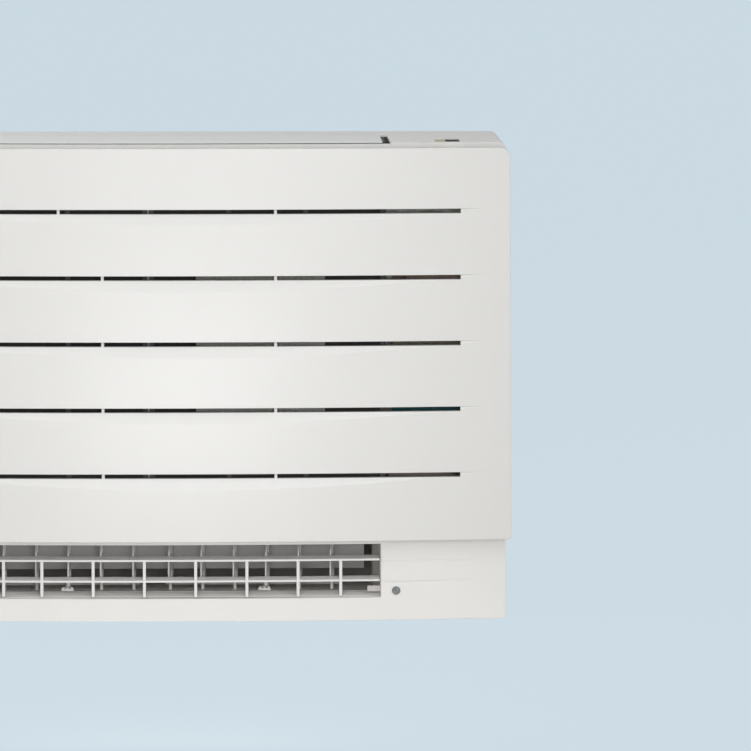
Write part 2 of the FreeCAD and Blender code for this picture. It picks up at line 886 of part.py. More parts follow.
def bow_band(half, outer, inner):
    """Plan of a bowed strip between two radii."""
    near = bow(outer, half)
    far = bow(inner, half)
    return [(f"-({half})", near, outer, 1), (half, near), (half, far, inner, -1), (f"-({half})", far)]


def front_panel():
    tray = body("panel_tray")
    pad(tray, "xy", [bow_band("half_width", "bow_radius", "bow_radius - panel_depth")],
        "panel_low", "panel_high")
    lip_bow = "bow_radius - panel_lip_depth"
    pocket(tray, "xy", [bow_band("panel_inner_half", lip_bow, "bow_radius - panel_depth - overrun")],
           "panel_low - overrun", "panel_high - panel_wall")
    count = int(number("slot_count"))
    lows = ["panel_low + panel_wall"] + [slot_low(index) for index in reversed(range(count))]
    highs = [f"{slot_low(index)} - panel_lip_thickness" for index in reversed(range(count))]
    highs.append("panel_high - panel_wall")
    cavity = bow_band("panel_inner_half", "bow_radius - panel_wall", f"{lip_bow} - overrun")
    for low, high in zip(lows, highs):
        pocket(tray, "xy", [cavity], low, high)
    slots = [
        rectangle(("-slot_half", "slot_half"), (slot_low(index), f"{slot_low(index)} + slot_height"))
        for index in range(count)
    ]
    pocket(tray, "xz", slots, "front - overrun", bow("bow_radius - panel_wall", "slot_half") + " + overrun")
    for x, low, high in (
        ("panel_rib", "panel_low", "panel_high"),
        ("-panel_rib", "panel_low", slot_low(0)),
        ("-panel_outer_rib", slot_low(0) + " - panel_lip_thickness", "panel_high"),
    ):
        near = bow("bow_radius - panel_rib_setback", x)
        strip = rectangle((f"{x} - panel_rib_width / 2", f"{x} + panel_rib_width / 2"),
                          (near, bow(lip_bow, x)))
        pad(tray, "xy", [strip], f"{low} + panel_wall / 2", f"{high} - panel_wall / 2")
    half_top = "panel_top_width / 2"
    outline = [
        ("-half_width + panel_foot_corner", "panel_low"),
        ("half_width - panel_foot_corner", "panel_low", "panel_foot_corner", 1),
        ("half_width", "panel_low + panel_foot_corner"),
        (half_top, "panel_high - panel_top_corner", "panel_top_corner", 1),
        (f"{half_top} - panel_top_corner", "panel_high"),
        (f"-{half_top} + panel_top_corner", "panel_high", "panel_top_corner", 1),
        (f"-{half_top}", "panel_high - panel_top_corner"),
        ("-half_width", "panel_low + panel_foot_corner", "panel_foot_corner", 1),
    ]
    border = rectangle(("-half_width - overrun", "half_width + overrun"),
                       ("panel_low - overrun", "panel_high + overrun"))
    pocket(tray, "xz", [border, outline], "front - overrun", "0")
    laps = [
        lap(f"panel_lap_{index}", f"{slot_low(index)} + slot_height", "panel_lap_depth", "panel_lap_height",
            "panel_lap_fade", "0")
        for index in range(count)
    ]
    pieces = [cut("panel_lapped", tray, *laps)]
    for side, sign in (("right", 1), ("left", -1)):
        ear = ("hinge_ear", "hinge_ear + hinge_ear_width")
        shank = ("hinge_ear", "hinge_lug + hinge_lug_width + overrun")
        if sign < 0:
            ear = ("-hinge_ear - hinge_ear_width", "-hinge_ear")
            shank = ("-hinge_lug - hinge_lug_width - overrun", "-hinge_ear")
        pieces.append(box(f"ear_arm_{side}", ear,
                          (bow("bow_radius - panel_wall / 2", "hinge_ear"), "hinge_y"),
                          ("hinge_height - hinge_eye_radius", "hinge_height + hinge_eye_radius")))
        pieces.append(cylinder(f"ear_eye_{side}", "x", "hinge_eye_radius", "hinge_ear_width",
                               (ear[0], "hinge_y", "hinge_height")))
        pieces.append(cylinder(f"ear_pin_{side}", "x", "hinge_pin_radius", f"({shank[1]}) - ({shank[0]})",
                               (shank[0], "hinge_y", "hinge_height")))
    keep("front_panel", fuse("panel_whole", *pieces))


# Panel stoppers: slides under the panel's top rim, with a tongue and finger ribs

def panel_stoppers():
    high = "panel_high - panel_wall - fit_gap"
    low = f"{high} - stopper_height"
    for side, start in (("right", "stopper_place"), ("left", "-stopper_place - stopper_length")):
        end = f"{start} + stopper_length"
        face = bow("bow_radius - panel_wall", "stopper_place + stopper_length") + " + fit_gap"
        slide = body(f"stopper_{side}")
        pad(slide, "xy", [rectangle((start, end), (face, f"{face} + stopper_depth"))], low, high)
        tongue = rectangle((f"{start} + stopper_length / 4", f"{end} - stopper_length / 4"),
                           (f"{face} + stopper_depth / 2", f"{face} + stopper_tongue_length"))
        pad(slide, "xy", [tongue], f"{high} - stopper_tongue_height", high)
        ribs = []
        for index in (-1, 0, 1):
            middle = f"{start} + stopper_length / 2 + {index} * stopper_grip_pitch"
            ribs.append(rectangle(
                (f"{middle} - stopper_grip_width / 2", f"{middle} + stopper_grip_width / 2"),
                (f"{low} - stopper_grip_height", f"{low} + stopper_grip_height"),
            ))
        pad(slide, "xz", ribs, f"{face} + stopper_grip_height", f"{face} + stopper_depth")
        keep(f"{side}_panel_stopper", slide)


# Intake guard and air filters

def lattice(name, x, y, z, columns, rows, bar):
    frame = body(name)
    pad(frame, "xz", [rectangle(x, z)] + window_grid(x, z, columns, rows, bar), *y)
    return frame


def intake_guard():
    x = ("-guard_width / 2", "guard_width / 2")
    z = ("guard_low", "guard_high")
    keep("intake_guard", lattice("guard", x, ("-guard_front", "guard_rear"), z,
                                 "guard_columns", "guard_rows", "guard_bar"))


def filters():
    ranges = {
        "left": ("-filter_left_end", "filter_split - filter_gap / 2"),
        "right": ("filter_split + filter_gap / 2", "filter_right_end"),
    }
    z = ("filter_low", "filter_high")
    for side, x in ranges.items():
        frame = lattice(f"filter_{side}", x, ("filter_front", "filter_rear"), z,
                        "filter_columns", "filter_rows", "filter_bar")
        keep(f"{side}_filter_frame", frame)
        keep(f"{side}_filter_net", box(f"net_{side}", x, ("filter_rear", "filter_rear + net_thickness"), z))


def purifying_filter():
    """Framed and pleated filter that hangs before the right air filter."""
    x = ("purifier_left", "purifier_right")
    z = ("purifier_low", "purifier_high")
    frame = body("purifier")
    pad(frame, "xz", [rectangle(x, z)], "purifier_front", "purifier_rear")
    pleats = []
    inner = ("(purifier_low + purifier_bar)", "(purifier_high - purifier_bar)")
    for index in range(int(number("(purifier_right - purifier_left - 2 * purifier_bar) / pleat_pitch"))):
        left = f"purifier_left + purifier_bar + {index} * pleat_pitch"
        pleats.append(rectangle((left, f"{left} + pleat_pitch / 2"), inner))
    pocket(frame, "xz", pleats, "purifier_front - overrun", "purifier_front + pleat_depth")
    keep("purifying_filter", frame)


# Coil: fin pack, end plates, return bends, pipes and their nuts

def coil():
    grooves = []
    for index in range(int(number("(coil_left + coil_right) / fin_pitch"))):
        left = f"-coil_left + {index} * fin_pitch + (fin_pitch - fin_groove) / 2"
        grooves.append(box(f"fin_groove_{index}", (left, f"{left} + fin_groove"),
                           ("-coil_front - overrun", "-coil_front + fin_groove_depth"),
                           ("coil_low - overrun", "coil_high + overrun")))
    block = box("fin_block", ("-coil_left", "coil_right"), ("-coil_front", "coil_rear"),
                ("coil_low", "coil_high"))
    pack = cut("fin_pack", block, *grooves)
    keep("coil_fins", pack)
    for side, x in (("left", ("-coil_left - coil_plate_thickness", "-coil_left")),
                    ("right", ("coil_right", "coil_right + coil_plate_thickness"))):
        plate = body(f"coil_plate_{side}")
        pad(plate, "xz", [rectangle(x, ("coil_plate_low", "coil_plate_high"))], "-coil_front", "coil_rear")
        flange = (x[0], f"{x[0]} + coil_flange") if side == "right" else (f"{x[1]} - coil_flange", x[1])
        pad(plate, "xz", [rectangle(flange, ("coil_low", "coil_plate_high"))],
            "coil_rear - coil_plate_thickness", "coil_rear")
        keep(f"{side}_coil_plate", plate)
    bends = []
    for index in range(int(number("bend_count"))):
        bend = DOC.addObject("Part::Torus", f"bend_{index}")
        turn = FreeCAD.Rotation(Vector(0, 0, 1), Vector(-1, 0, 0), Vector(0, -1, 0), "XYZ")
        bend.Placement = FreeCAD.Placement(Vector(), turn)
        bend.Angle3 = 180
        bind(bend, "Radius1", "bend_radius")
        bind(bend, "Radius2", "tube_radius")
        place(bend, "-coil_left - coil_plate_thickness", "coil_middle", f"bend_first + {index} * bend_pitch")
        bends.append(bend)
    keep("return_bends", group("bend_group", *bends))


def pipes():
    nuts = []
    for name in ("gas", "liquid"):
        radius = f"{name}_pipe_radius"
        height = f"{name}_pipe_height"
        drop = f"{name}_pipe_drop"
        pipe = body(f"{name}_pipe_body")
        start = "coil_right + coil_plate_thickness"
        profile = sketch(pipe, "yz", [("circle", "coil_middle", height, radius)], start)
        spine = sketch(pipe, "xz", [], "coil_middle")
        add_path(spine, [(start, height), (drop, height), (drop, "pipe_foot")], "pipe_bend")
        run = pipe.newObject("PartDesign::AdditivePipe", f"{name}_run")
        run.Profile = profile
        run.Spine = spine
        pipe.Tip = run
        keep(f"{name}_pipe", pipe)
        nut = body(f"{name}_nut")
        across = f"({radius} * nut_radius_ratio_share)"
        pad(nut, "xy", [hexagon(drop, "coil_middle", across)], "pipe_foot - nut_height", "pipe_foot")
        nuts.append(nut)
    keep("flare_nuts", group("nut_group", *nuts))


def hexagon(x, y, radius):
    return [
        (f"{x} + {radius} * cos({angle})", f"{y} + {radius} * sin({angle})") for angle in range(0, 360, 60)
    ]


# Drain pan and its socket

def drain():
    pan = body("pan")
    rear = "-bell_front - fit_gap"
    near = "-coil_front - pan_wall - fit_gap"
    x = ("-pan_left", "pan_right")
    pad(pan, "xy", [rectangle(x, (near, rear))], "pan_low", "pan_high")
    inside = rectangle(("-pan_left + pan_wall", "pan_right - pan_wall"),
                       (f"{near} + pan_wall", f"{rear} - pan_wall"))
    pocket(pan, "xy", [inside], "pan_low + pan_wall", "pan_high + overrun")
    keep("drain_pan", pan)
    socket = body("socket")
    middle = "(pan_low + pan_high) / 2"
    pad(socket, "yz", [("circle", "coil_middle", middle, "socket_radius")],
        "pan_right", "pan_right + socket_length")
    for index in (1, 2):
        at = f"pan_right + {index} * socket_length / 3"
        pad(socket, "yz", [("circle", "coil_middle", middle, "socket_radius + socket_rib / 2")],
            at, f"{at} + socket_rib")
    pocket(socket, "yz", [("circle", "coil_middle", middle, "socket_radius - socket_rib")],
           "pan_right - overrun", "pan_right + socket_length + overrun")
    keep("drain_socket", socket)


# Bell mouth, turbo fan and motor on one axis along Y

def ring_spot(y, radius):
    return (y, f"fan_height + {radius}")


def bell_mouth():
    plate = body("bell")
    outside = rectangle(("-scroll_left", "scroll_right"), ("bell_low", "bell_high"))
    mouth = ("circle", "fan_x", "fan_height", "bell_radius + bell_curl")
    pad(plate, "xz", [outside, mouth], "-bell_front", "bell_rear")
    lip = "bell_rear + bell_curl"
    revolve(plate, [[
        ring_spot("-bell_front", "bell_radius + bell_curl + bell_thickness"),
        ring_spot("-bell_front", "bell_radius + bell_curl") + ("bell_curl + bell_thickness", 1),
        ring_spot(lip, "bell_radius"),
        ring_spot(lip, "bell_radius + bell_thickness") + ("bell_curl", -1),
        ring_spot("bell_rear", "bell_radius + bell_curl + bell_thickness"),
    ]], "fan_x", "fan_height")
    keep("bell_mouth", plate)


def turbo_fan():
    fan = body("fan")
    bore = "shaft_radius + run_gap"
    plate = "fan_rear - fan_plate"
    hub_front = "fan_rear - fan_hub_length"
    turned = revolve(fan, [[
        ring_spot(hub_front, bore),
        ring_spot(hub_front, "fan_hub_radius"),
        ring_spot(f"{plate} - fan_cone_depth", "fan_hub_radius"),
        ring_spot(plate, "fan_cone_radius"),
        ring_spot(plate, "fan_radius"),
        ring_spot("fan_rear", "fan_radius"),
        ring_spot("fan_rear", "fan_cone_radius"),
        ring_spot("fan_rear - fan_cone_depth", "fan_hub_radius"),
        ring_spot("fan_rear - fan_cone_depth", bore),
    ]], "fan_x", "fan_height")
    inner_x = "fan_x + fan_inner_radius"
    outer_x = "fan_x + (fan_radius - fan_blade_thickness / 4) * cos(fan_blade_sweep)"
    outer_z = "fan_height - (fan_radius - fan_blade_thickness / 4) * sin(fan_blade_sweep)"
    blade = pad(fan, "xz", [[
        (inner_x, "fan_height", "fan_blade_curve", 1),
        (outer_x, outer_z),
        (outer_x, f"{outer_z} + fan_blade_thickness", "fan_blade_curve", -1),
        (inner_x, "fan_height + fan_blade_thickness"),
    ]], "-fan_front + fan_shroud_thickness", f"{plate} + fan_plate / 2")
    blades = fan.newObject("PartDesign::PolarPattern", "fan_blades")
    blades.Originals = [blade]
    blades.Axis = (turned.Profile[0], ["Axis0"])
    blades.Angle = 360
    bind(blades, "Occurrences", "fan_blade_count")
    fan.Tip = blades
    throat = ring_spot("-fan_front", "fan_shroud_radius + fan_shroud_thickness")
    brim = ring_spot("-fan_front + fan_shroud_flare", "fan_radius")
    curve = ("fan_shroud_flare * 2", -1)
    revolve(fan, [[
        ring_spot("-fan_front - overrun", "fan_shroud_radius + fan_shroud_thickness"),
        throat + curve,
        brim,
        ring_spot("-fan_front + fan_shroud_flare", "fan_radius + overrun"),
        ring_spot("-fan_front - overrun", "fan_radius + overrun"),
    ]], "fan_x", "fan_height", "PartDesign::Groove")
    revolve(fan, [[
        ring_spot("-fan_front", "fan_shroud_radius"),
        throat + curve,
        brim,
        ring_spot("-fan_front + fan_shroud_flare + fan_shroud_thickness", "fan_radius")
        + ("fan_shroud_flare * 2 + fan_shroud_thickness", 1),
    ]], "fan_x", "fan_height")
    keep("turbo_fan", fan)

    keep("motor_shaft", cylinder("shaft", "y", "shaft_radius", "shaft_rear - shaft_front",
                                 ("fan_x", "shaft_front", "fan_height")))
    nut = body("hub_nut")
    ring = hexagon("fan_x", "fan_height", "nut_radius")
    pad(nut, "xz", [ring, ("circle", "fan_x", "fan_height", bore)], f"{hub_front} - nut_thickness", hub_front)
    keep("fan_nut", nut)


def fan_motor():
    motor = body("motor")
    bore = "shaft_radius + run_gap"
    revolve(motor, [[
        ring_spot("motor_front", bore),
        ring_spot("motor_front", "motor_radius - motor_round") + ("motor_round", -1),
        ring_spot("motor_front + motor_round", "motor_radius"),
        ring_spot("motor_rear", "motor_radius"),
        ring_spot("motor_rear", "0"),
        ring_spot("shaft_rear + overrun", "0"),
        ring_spot("shaft_rear + overrun", bore),
    ]], "fan_x", "fan_height")
    keep("fan_motor", motor)
    mount = body("mount")
    holes = []
    screws = []
    for index in range(int(number("mount_screw_count"))):
        turn = f"({index} * 360 / mount_screw_count + 45)"
        x = f"fan_x + mount_screw_circle * cos({turn})"
        z = f"fan_height + mount_screw_circle * sin({turn})"
        holes.append(("circle", x, z, "mount_screw_radius + run_gap"))
        screw = body(f"mount_screw_{index}")
        pad(screw, "xz", [("circle", x, z, "mount_screw_head")],
            "motor_rear - mount_screw_radius", "motor_rear")
        pad(screw, "xz", [("circle", x, z, "mount_screw_radius")], "motor_rear", "back - overrun / 2")
        screws.append(screw)
    pad(mount, "xz", [("circle", "fan_x", "fan_height", "mount_radius")], "motor_rear", "frame_plate")
    pocket(mount, "xz", holes, "motor_rear - overrun", "back")
    keep("motor_mount", mount)
    keep("motor_screws", group("mount_screws", *screws))
    return holes


# Walls that lead the air from the fan to the two outlets

def scroll_walls():
    for side, wall, reach in (
        ("left", ("-scroll_left", "-scroll_left + scroll_wall"), "-scroll_left + cheek_reach"),
        ("right", ("scroll_face", "scroll_right"), "scroll_right - cheek_reach"),
    ):
        scroll = body(f"scroll_{side}")
        pad(scroll, "xz", [rectangle(wall, ("scroll_low", "scroll_high"))], "bell_rear", "frame_plate")
        inner = wall[1] if side == "left" else wall[0]
        turn = -1 if side == "left" else 1
        root = f"({wall[0]} + {wall[1]}) / 2"
        rise = f"({reach} - ({inner}))"
        chord = "(cheek_high - cheek_low)"
        radius = f"(({chord} / 2)^2 + {rise}^2) / (2 * abs({rise}))"
        pad(scroll, "xz", [[
            (root, "cheek_low"),
            (inner, "cheek_low", radius, -turn),
            (inner, "cheek_high"),
            (root, "cheek_high"),
            (root, "cheek_high - scroll_wall"),
            (inner, "cheek_high - scroll_wall", radius, turn),
            (inner, "cheek_low + scroll_wall"),
            (root, "cheek_low + scroll_wall"),
        ]], "bell_rear", "frame_plate")
        pocket(scroll, "yz", [("circle", "flap_axis_y", "flap_axis_z", "flap_pin_radius + run_gap")],
               f"{wall[0]} - overrun", f"{wall[1]} + overrun")
        keep(f"{side}_scroll_wall", scroll)


def upper_air_guide():
    guide = body("guide")
    rear = "bell_rear"
    pad(guide, "yz", [[
        (rear, "guide_low"),
        (rear, "guide_low + guide_wall"),
        ("-guide_front", "guide_low + guide_rise + guide_wall"),
        ("-guide_front", "guide_low + guide_rise"),
        ("-bell_front", "guide_low"),
    ]], "-scroll_left", "scroll_right")
    keep("upper_air_guide", guide)


def vane_places():
    for side, shift in (("right", "0"), ("left", "vane_group_offset")):
        for index in range(int(number("vane_count"))):
            yield side, index, f"(-vane_right_first + {index} * vane_pitch - {shift})"


def lower_duct():
    duct = body("duct")
    x = ("outlet_left", "outlet_right")
    turn = "duct_bend_sweep"
    centre = "(duct_floor_rear + duct_bend_radius)"
    outer = "(duct_bend_radius + duct_wall)"
    pad(duct, "yz", [[
        ("casing_front", "duct_floor_front - duct_wall"),
        ("-duct_step_place", "duct_floor_step - duct_wall"),
        ("duct_bend_start", "duct_floor_rear - duct_wall", outer, 1),
        (f"duct_bend_start + {outer} * sin({turn})", f"{centre} - {outer} * cos({turn})"),
        (f"duct_bend_start + duct_bend_radius * sin({turn})", f"{centre} - duct_bend_radius * cos({turn})",
         "duct_bend_radius", -1),
        ("duct_bend_start", "duct_floor_rear"),
        ("-duct_step_place", "duct_floor_step"),
        ("casing_front", "duct_floor_front"),
    ]], *x)
    slope = "((duct_floor_step - duct_floor_front) / (-duct_step_place - (casing_front)))"
    ridges = []
    for index in range(int(number("duct_ridge_count"))):
        at = f"(-duct_ridge_first + {index} * duct_ridge_pitch)"
        foot = f"(duct_floor_front + {slope} * ({at} - (casing_front)) - duct_wall / 2)"
        ridges.append([
            (f"{at} - duct_ridge_width / 2", foot),
            (f"{at} + duct_ridge_width / 2", foot),
            (at, f"{foot} + duct_wall / 2 + duct_ridge_height"),
        ])
    pad(duct, "yz", ridges, *x)
    pad(duct, "yz", [rectangle(("casing_front", "-duct_ceiling_rear"),
                               ("outlet_high", "outlet_high + duct_wall"))], *x)
    ends = []
    for sign, outlet, inner in ((1, "outlet_right", "duct_right"), (-1, "outlet_left", "duct_left")):
        thick = "duct_wall" if sign > 0 else "-duct_wall"
        edge = "duct_edge" if sign > 0 else "-duct_edge"
        end = [
            (f"{outlet} - {edge}", "casing_front"),
            (outlet, "casing_front"),
            (outlet, "-duct_step_place"),
            (f"{inner} + {thick}", "-duct_end_rear"),
            (f"{inner} + {thick}", "duct_bend_start"),
            (inner, "duct_bend_start"),
            (inner, "-duct_end_rear"),
            (f"{outlet} - {thick}", "-duct_step_place"),
        ]
        ends.append(end)
    pad(duct, "xy", ends, "duct_floor_rear - duct_wall", "outlet_high + duct_wall / 2")
    front_ends = [
        [(f"{outlet} - {sign}duct_edge", "casing_front"), (outlet, "casing_front"),
         (outlet, "-duct_step_place"), (f"{outlet} - {sign}duct_wall", "-duct_step_place")]
        for outlet, sign in (("outlet_right", ""), ("outlet_left", "-"))
    ]
    pad(duct, "xy", front_ends, "duct_floor_front - duct_wall / 2", "duct_floor_rear")
    webs = []
    for index in range(int(number("duct_web_count"))):
        at = f"(outlet_left + outlet_width * ({index} + 1 / 2) / duct_web_count)"
        webs.append(rectangle((f"{at} - duct_web_width / 2", f"{at} + duct_web_width / 2"),
                              ("-duct_step_place", "duct_bend_start")))
    pad(duct, "xy", webs, "frame_wall", "duct_floor_step - duct_wall / 2")
    bracket = rectangle(("outlet_right - duct_wall - bracket_width", "outlet_right - duct_edge"),
                        ("bracket_low", "bracket_low + bracket_height"))
    bracket_face = "casing_front + bracket_setback"
    pad(duct, "xz", [bracket], bracket_face, f"{bracket_face} + duct_wall")
    holes = [("circle", x_at, "-vane_pivot", "vane_pin_radius + run_gap") for _, _, x_at in vane_places()]
    pocket(duct, "xy", holes, "vane_pin_foot - fit_gap", "outlet_high + duct_wall + overrun")
    pocket(duct, "yz", [("circle", "-shutter_pivot", "shutter_height", "shutter_pin_radius + run_gap")],
           "outlet_left - overrun", "outlet_right + overrun")
    room = bow_cylinder("duct_room", "casing_inner_bow - fit_gap", "0", "overall_height")
    keep("lower_duct", common("duct_trim", duct, room))


# Louvre vanes, turned a little at rest, and the link of each group

def louvres():
    for side, index, x in vane_places():
        blade = body(f"vane_{side}_{index}")
        pad(blade, "yz", [[
            ("-vane_front", "vane_low"),
            ("vane_rear", "vane_low"),
            ("vane_rear", "vane_high"),
            ("-vane_front + vane_curve", "vane_high", "vane_curve", 1),
            ("-vane_front", "vane_high - vane_curve"),
        ]], "-vane_thickness / 2", "vane_thickness / 2")
        inside = "(vane_high - vane_low) / 4"
        pad(blade, "xy", [("circle", "0", "0", "vane_pin_radius")], "vane_pin_foot", f"vane_low + {inside}")
        pad(blade, "xy", [("circle", "0", "0", "vane_pin_radius")], f"vane_high - {inside}", "vane_pin_head")
        pad(blade, "xy", [("circle", "0", "vane_crank", "vane_link_pin_radius")],
            "link_low", f"vane_low + {inside}")
        if index == int(number("vane_knob")):
            finger_tab(blade)
        place(blade, x, "-vane_pivot")
        bind(blade, "Placement.Rotation.Angle", f"-{side}_rest_turn")
        keep(f"{side}_vane_{index + 1}", blade)
    for side in ("right", "left"):
        shift = f"vane_crank * sin({side}_rest_turn)"
        y = f"(-vane_pivot + vane_crank * cos({side}_rest_turn))"
        spots = [f"{x} + {shift}" for name, _, x in vane_places() if name == side]
        bar = body(f"link_{side}")
        pad(bar, "xy", [rectangle((f"{spots[0]} - link_width", f"{spots[-1]} + link_width"),
                                  (f"{y} - link_width / 2", f"{y} + link_width / 2"))],
            "link_low", "link_low + link_thickness")
        holes = [("circle", x, y, "vane_link_pin_radius + run_gap") for x in spots]
        pocket(bar, "xy", holes, "link_low - overrun", "link_low + link_thickness + overrun")
        keep(f"{side}_louvre_link", bar)


def finger_tab(blade):
    """Fan-shaped finger tab with three ribs at the foot of the vane's front edge."""
    root = "-vane_front + vane_thickness"
    tip = "-vane_front - tab_length"
    low = "(vane_low - tab_drop)"
    pad(blade, "xy", [[("-tab_root / 2", root), ("-tab_width / 2", tip), ("tab_width / 2", tip),
                       ("tab_root / 2", root)]], low, f"{low} + tab_thickness")
    stem = rectangle(("-tab_rib_width", "tab_rib_width"), ("-vane_front", "-vane_front + tab_root"))
    pad(blade, "xy", [stem], low, "vane_low + tab_thickness")
    ribs = []
    for share in (-1, 0, 1):
        far = f"{share} * (tab_width / 2 - tab_rib_width)"
        near = f"{share} * (tab_root / 2 - tab_rib_width / 2)"
        ribs.append([(f"{near} - tab_rib_width / 2", root), (f"{far} - tab_rib_width / 2", tip),
                     (f"{far} + tab_rib_width / 2", tip), (f"{near} + tab_rib_width / 2", root)])
    for rib in ribs:
        pad(blade, "xy", [rib], f"{low} + tab_thickness / 2", f"{low} + tab_thickness + tab_rib_height")


# Flap, shutter and their stepper motors

def upper_flap():
    """Flap whose front strip and lip follow the bow, on a straight pin along its rear edge."""
    flap = body("flap")
    bow_turn(flap, [
        ("flap_front", "overall_height - flap_lip"),
        ("flap_front + flap_thickness", "overall_height - flap_lip"),
        ("flap_front + flap_thickness", "flap_low"),
        ("flap_front + flap_strip", "flap_low"),
        ("flap_front + flap_strip", "overall_height"),
        ("flap_front + flap_thickness", "overall_height", "flap_thickness", 1),
        ("flap_front", "overall_height - flap_thickness"),
    ], "outlet_shift + flap_length / 2")
    x = ("flap_left", "flap_right")
    plate = rectangle(x, ("flap_front + flap_strip / 2", "flap_rear"))
    pad(flap, "xy", [plate], "flap_low", "overall_height")
    outside = (("-overall_width", x[0]), (x[1], "overall_width"))
    ends = [rectangle(side, ("front", "back")) for side in outside]
    pocket(flap, "xy", ends, "overall_height - flap_lip - overrun", "overall_height + overrun")
    barrel = ("circle", "flap_axis_y", "flap_axis_z", "flap_barrel_radius")
    pad(flap, "yz", [barrel], *x)
    pivot = ("circle", "flap_axis_y", "flap_axis_z", "flap_pin_radius")
    pad(flap, "yz", [pivot], "-scroll_left", "scroll_right")
    keep("upper_flap", flap)
    strip = body("flap_strip_seal")
    rear = "flap_front - fit_gap"
    low = "overall_height - flap_lip"
    bow_turn(strip, [
        (f"{rear} - flap_seal", low),
        (rear, low),
        (rear, "overall_height - flap_seal_drop"),
        (f"{rear} - flap_seal", "overall_height - flap_seal_drop"),
    ], "outlet_shift + flap_length / 2")
    pocket(strip, "xy", ends, f"{low} - overrun", "overall_height")
    keep("flap_seal", strip)


def lower_shutter():
    shutter = body("shutter")
    foot = "shutter_height - shutter_reach"
    near = "-shutter_pivot - shutter_thickness / 2"
    far = "-shutter_pivot + shutter_thickness / 2"
    x = ("-shutter_left", "shutter_right")
    pad(shutter, "yz", [[
        (near, "shutter_height", "shutter_curve", 1),
        (near, foot),
        (far, foot, "shutter_curve", -1),
        (far, "shutter_height"),
    ]], *x)
    pad(shutter, "yz", [("circle", "-shutter_pivot", "shutter_height", "shutter_barrel_radius")], *x)
    pad(shutter, "yz", [("circle", "-shutter_pivot", "shutter_height", "shutter_pin_radius")],
        "duct_left - duct_wall", "duct_right + duct_wall")
    keep("lower_shutter", shutter)


def stepper(label, seat, y, z):
    motor = body(label + "_body")
    middle = f"{z} - stepper_offset"
    pad(motor, "yz", [("circle", y, middle, "stepper_radius")],
        f"{seat} + stepper_boss_length", f"{seat} + stepper_length")
    pad(motor, "yz", [("circle", y, z, "stepper_boss_radius")], seat, f"{seat} + 2 * stepper_boss_length")
    ears = rectangle((f"{y} - stepper_ear_reach", f"{y} + stepper_ear_reach"),
                     (f"{middle} - stepper_ear_width / 2", f"{middle} + stepper_ear_width / 2"))
    pad(motor, "yz", [ears], f"{seat} + stepper_boss_length",
        f"{seat} + stepper_boss_length + stepper_ear_thickness")
    keep(label, motor)


# Electrical box on the right and the controls on top

def electrical_box():
    tray = body("electric_tray")
    x = ("box_left", "box_right")
    z = ("box_low", "box_high")
    pad(tray, "xz", [rectangle(x, z)], "-box_front", "-box_rear")
    inside = rectangle((f"{x[0]} + box_wall", f"{x[1]} - box_wall"),
                       (f"{z[0]} + box_wall", f"{z[1]} - box_wall"))
    pocket(tray, "xz", [inside], "-box_front - overrun", "-box_rear - box_wall")
    left = f"{x[0]} + part_inset"
    right = f"{x[1]} - part_inset"
    posts = [
        ("circle", px, pz, "standoff_radius")
        for px in (f"{left} + part_inset", f"{right} - part_inset")
        for pz in ("board_low + part_inset", "board_high - part_inset")
    ]
    pad(tray, "xz", posts, "-board_front + board_thickness", "-box_rear - box_wall / 2")
    keep("electrical_box", tray)

    board = body("main_board")
    pad(board, "xz", [rectangle((left, right), ("board_low", "board_high"))],
        "-board_front", "-board_front + board_thickness")
    middle = "(board_low + board_high) / 2"
    cans = [
        ("circle", f"{left} + {index} * 3 * capacitor_radius", middle, "capacitor_radius") for index in (1, 2)
    ]
    pad(board, "xz", cans, "-board_front - capacitor_height", "-board_front")
    chip = rectangle((f"{right} - 2 * chip_size", f"{right} - chip_size"),
                     (f"{middle} - chip_size / 2", f"{middle} + chip_size / 2"))
    pad(board, "xz", [chip], "-board_front - chip_height", "-board_front")
    keep("control_board", board)

    rear = "-box_rear - box_wall"
    block = body("terminal")
    pad(block, "xz", [rectangle((left, right), ("terminal_low", "terminal_high"))], "-terminal_front", rear)
    slots = []
    wide = f"(({right}) - ({left})) / terminal_count"
    for index in range(int(number("terminal_count"))):
        start = f"{left} + {index} * {wide} + box_wall"
        slots.append(rectangle((start, f"{start} + {wide} - 2 * box_wall"),
                               ("terminal_low + part_inset", "terminal_high - part_inset")))
    pocket(block, "xz", slots, "-terminal_front - overrun", "-terminal_front + part_inset")
    keep("terminal_block", block)

    reactor = body("choke")
    pad(reactor, "xz", [rectangle((left, right), ("reactor_low", "reactor_high"))],
        f"{rear} - part_inset", rear)
    pad(reactor, "xz", [rectangle((f"{left} + 2 * part_inset", f"{right} - 2 * part_inset"),
                                  ("reactor_low + part_inset / 2", "reactor_high - part_inset / 2"))],
        "-reactor_front", rear)
    keep("reactor", reactor)


def controls():
    top = "overall_height - window_recess"
    low = f"{top} - window_thickness"
    y = ("window_front + fit_gap", "window_rear - fit_gap")
    split = "window_left + fit_gap + button_width"
    board_top = f"{low} - button_travel - fit_gap"
    board = body("display")
    pad(board, "xy", [rectangle(("window_left - part_inset", "window_right + part_inset"),
                                ("window_front - part_inset / 2", "window_rear + part_inset"))],
        f"{board_top} - board_thickness", board_top)
    posts = [
        ("circle", px, py, "standoff_radius")
        for px in ("window_left - part_inset / 2", "window_right + part_inset / 2")
        for py in ("window_front + part_inset", "window_rear + part_inset / 2")
    ]
    pad(board, "xy", posts, board_top, "roof_low")
    keep("display_board", board)
    lens = body("lens")
    pad(lens, "xy", [rectangle((f"{split} + fit_gap", "window_right - fit_gap"), y)], board_top, top)
    keep("display_window", lens)
    button = body("button")
    pad(button, "xy", [rectangle(("window_left + fit_gap", split), y)], low, top)
    keep("power_button", button)


# Rear frame: back and foot plates in one, with wall holes, pipe opening and screw posts

